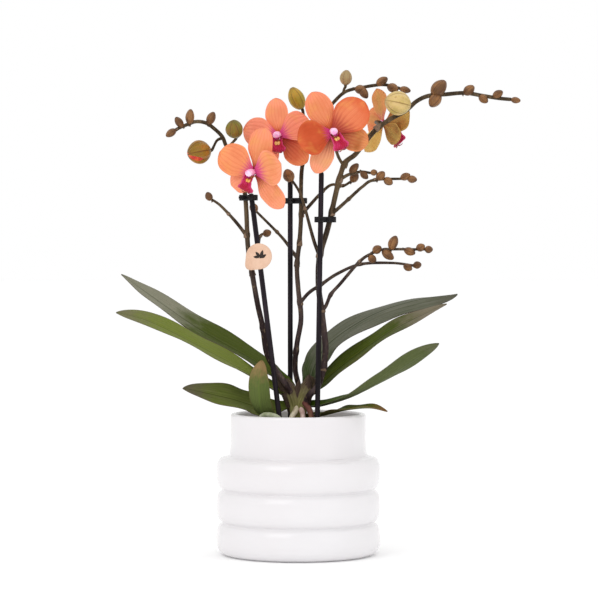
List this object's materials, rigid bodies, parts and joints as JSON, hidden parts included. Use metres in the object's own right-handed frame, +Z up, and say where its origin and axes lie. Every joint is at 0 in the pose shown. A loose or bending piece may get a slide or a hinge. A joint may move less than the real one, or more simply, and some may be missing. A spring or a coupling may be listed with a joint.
{
  "type": "potted orchid",
  "caption": "Moth orchid with arching leaves and tied flower spikes in a clear nursery pot inside a white ribbed ceramic cover pot.",
  "frame": {"origin": "on the pot's axis, in the plane of the pot's flat base", "axes": "+Z up along the pot's axis, -Y towards the front of the plant, +X to the right seen from the front"},
  "size_m": [0.2974, 0.1214, 0.3591],
  "materials": {
    "white_glaze": "glossy white glaze",
    "clear_plastic": "clear thin plastic",
    "bark": "rough bark chips",
    "crown_green": "waxy",
    "leaf_green": "waxy leaf",
    "leaf_dark": "waxy dark leaf",
    "root_silver": "papery root skin",
    "spike_skin": "waxy green to dark purple",
    "bud_green": "waxy",
    "petal_orange": "soft satin petal",
    "petal_khaki": "soft satin petal back",
    "lip_magenta": "satin",
    "column_pale": "satin",
    "stake_black": "satin black",
    "clip_black": "satin black",
    "tag_card": "uncoated card"
  },
  "bodies": {
    "root": {"bark_mix": "bark", "bud_left": "bud_green", "bud_middle": "bud_green", "bud_opening": "bud_green", "bud_right": "bud_green", "bud_top": "bud_green", "clip_left": "clip_black", "clip_middle": "clip_black", "clip_right": "clip_black", "crown": "crown_green", "flower_front_column": "column_pale", "flower_front_dorsal_sepal": "petal_orange", "flower_front_lip": "lip_magenta", "flower_front_petal_left": "petal_orange", "flower_front_petal_right": "petal_orange", "flower_front_sepal_left": "petal_orange", "flower_front_sepal_right": "petal_orange", "flower_left_column": "column_pale", "flower_left_dorsal_sepal": "petal_orange", "flower_left_lip": "lip_magenta", "flower_left_petal_left": "petal_orange", "flower_left_petal_right": "petal_orange", "flower_left_sepal_left": "petal_orange", "flower_left_sepal_right": "petal_orange", "flower_middle_column": "column_pale", "flower_middle_dorsal_sepal": "petal_orange", "flower_middle_lip": "lip_magenta", "flower_middle_petal_left": "petal_orange", "flower_middle_petal_right": "petal_orange", "flower_middle_sepal_left": "petal_orange", "flower_middle_sepal_right": "petal_orange", "flower_right_column": "column_pale", "flower_right_dorsal_sepal": "petal_khaki", "flower_right_lip": "lip_magenta", "flower_right_petal_left": "petal_khaki", "flower_right_petal_right": "petal_khaki", "flower_right_sepal_left": "petal_khaki", "flower_right_sepal_right": "petal_khaki", "leaf_back_left": "leaf_dark", "leaf_back_right": "leaf_dark", "leaf_front": "leaf_green", "leaf_left": "leaf_green", "leaf_low_left": "leaf_green", "leaf_low_right": "leaf_green", "leaf_right": "leaf_green", "leaf_twisted_right": "leaf_green", "nursery_pot": "clear_plastic", "plant_tag": "tag_card", "pot": "white_glaze", "root_arch": "root_silver", "root_bract": "root_silver", "root_front": "root_silver", "root_right": "root_silver", "spike_left": "spike_skin", "spike_middle": "spike_skin", "spike_right": "spike_skin", "stake_left": "stake_black", "stake_middle": "stake_black", "stake_right": "stake_black"}
  },
  "joints": []
}
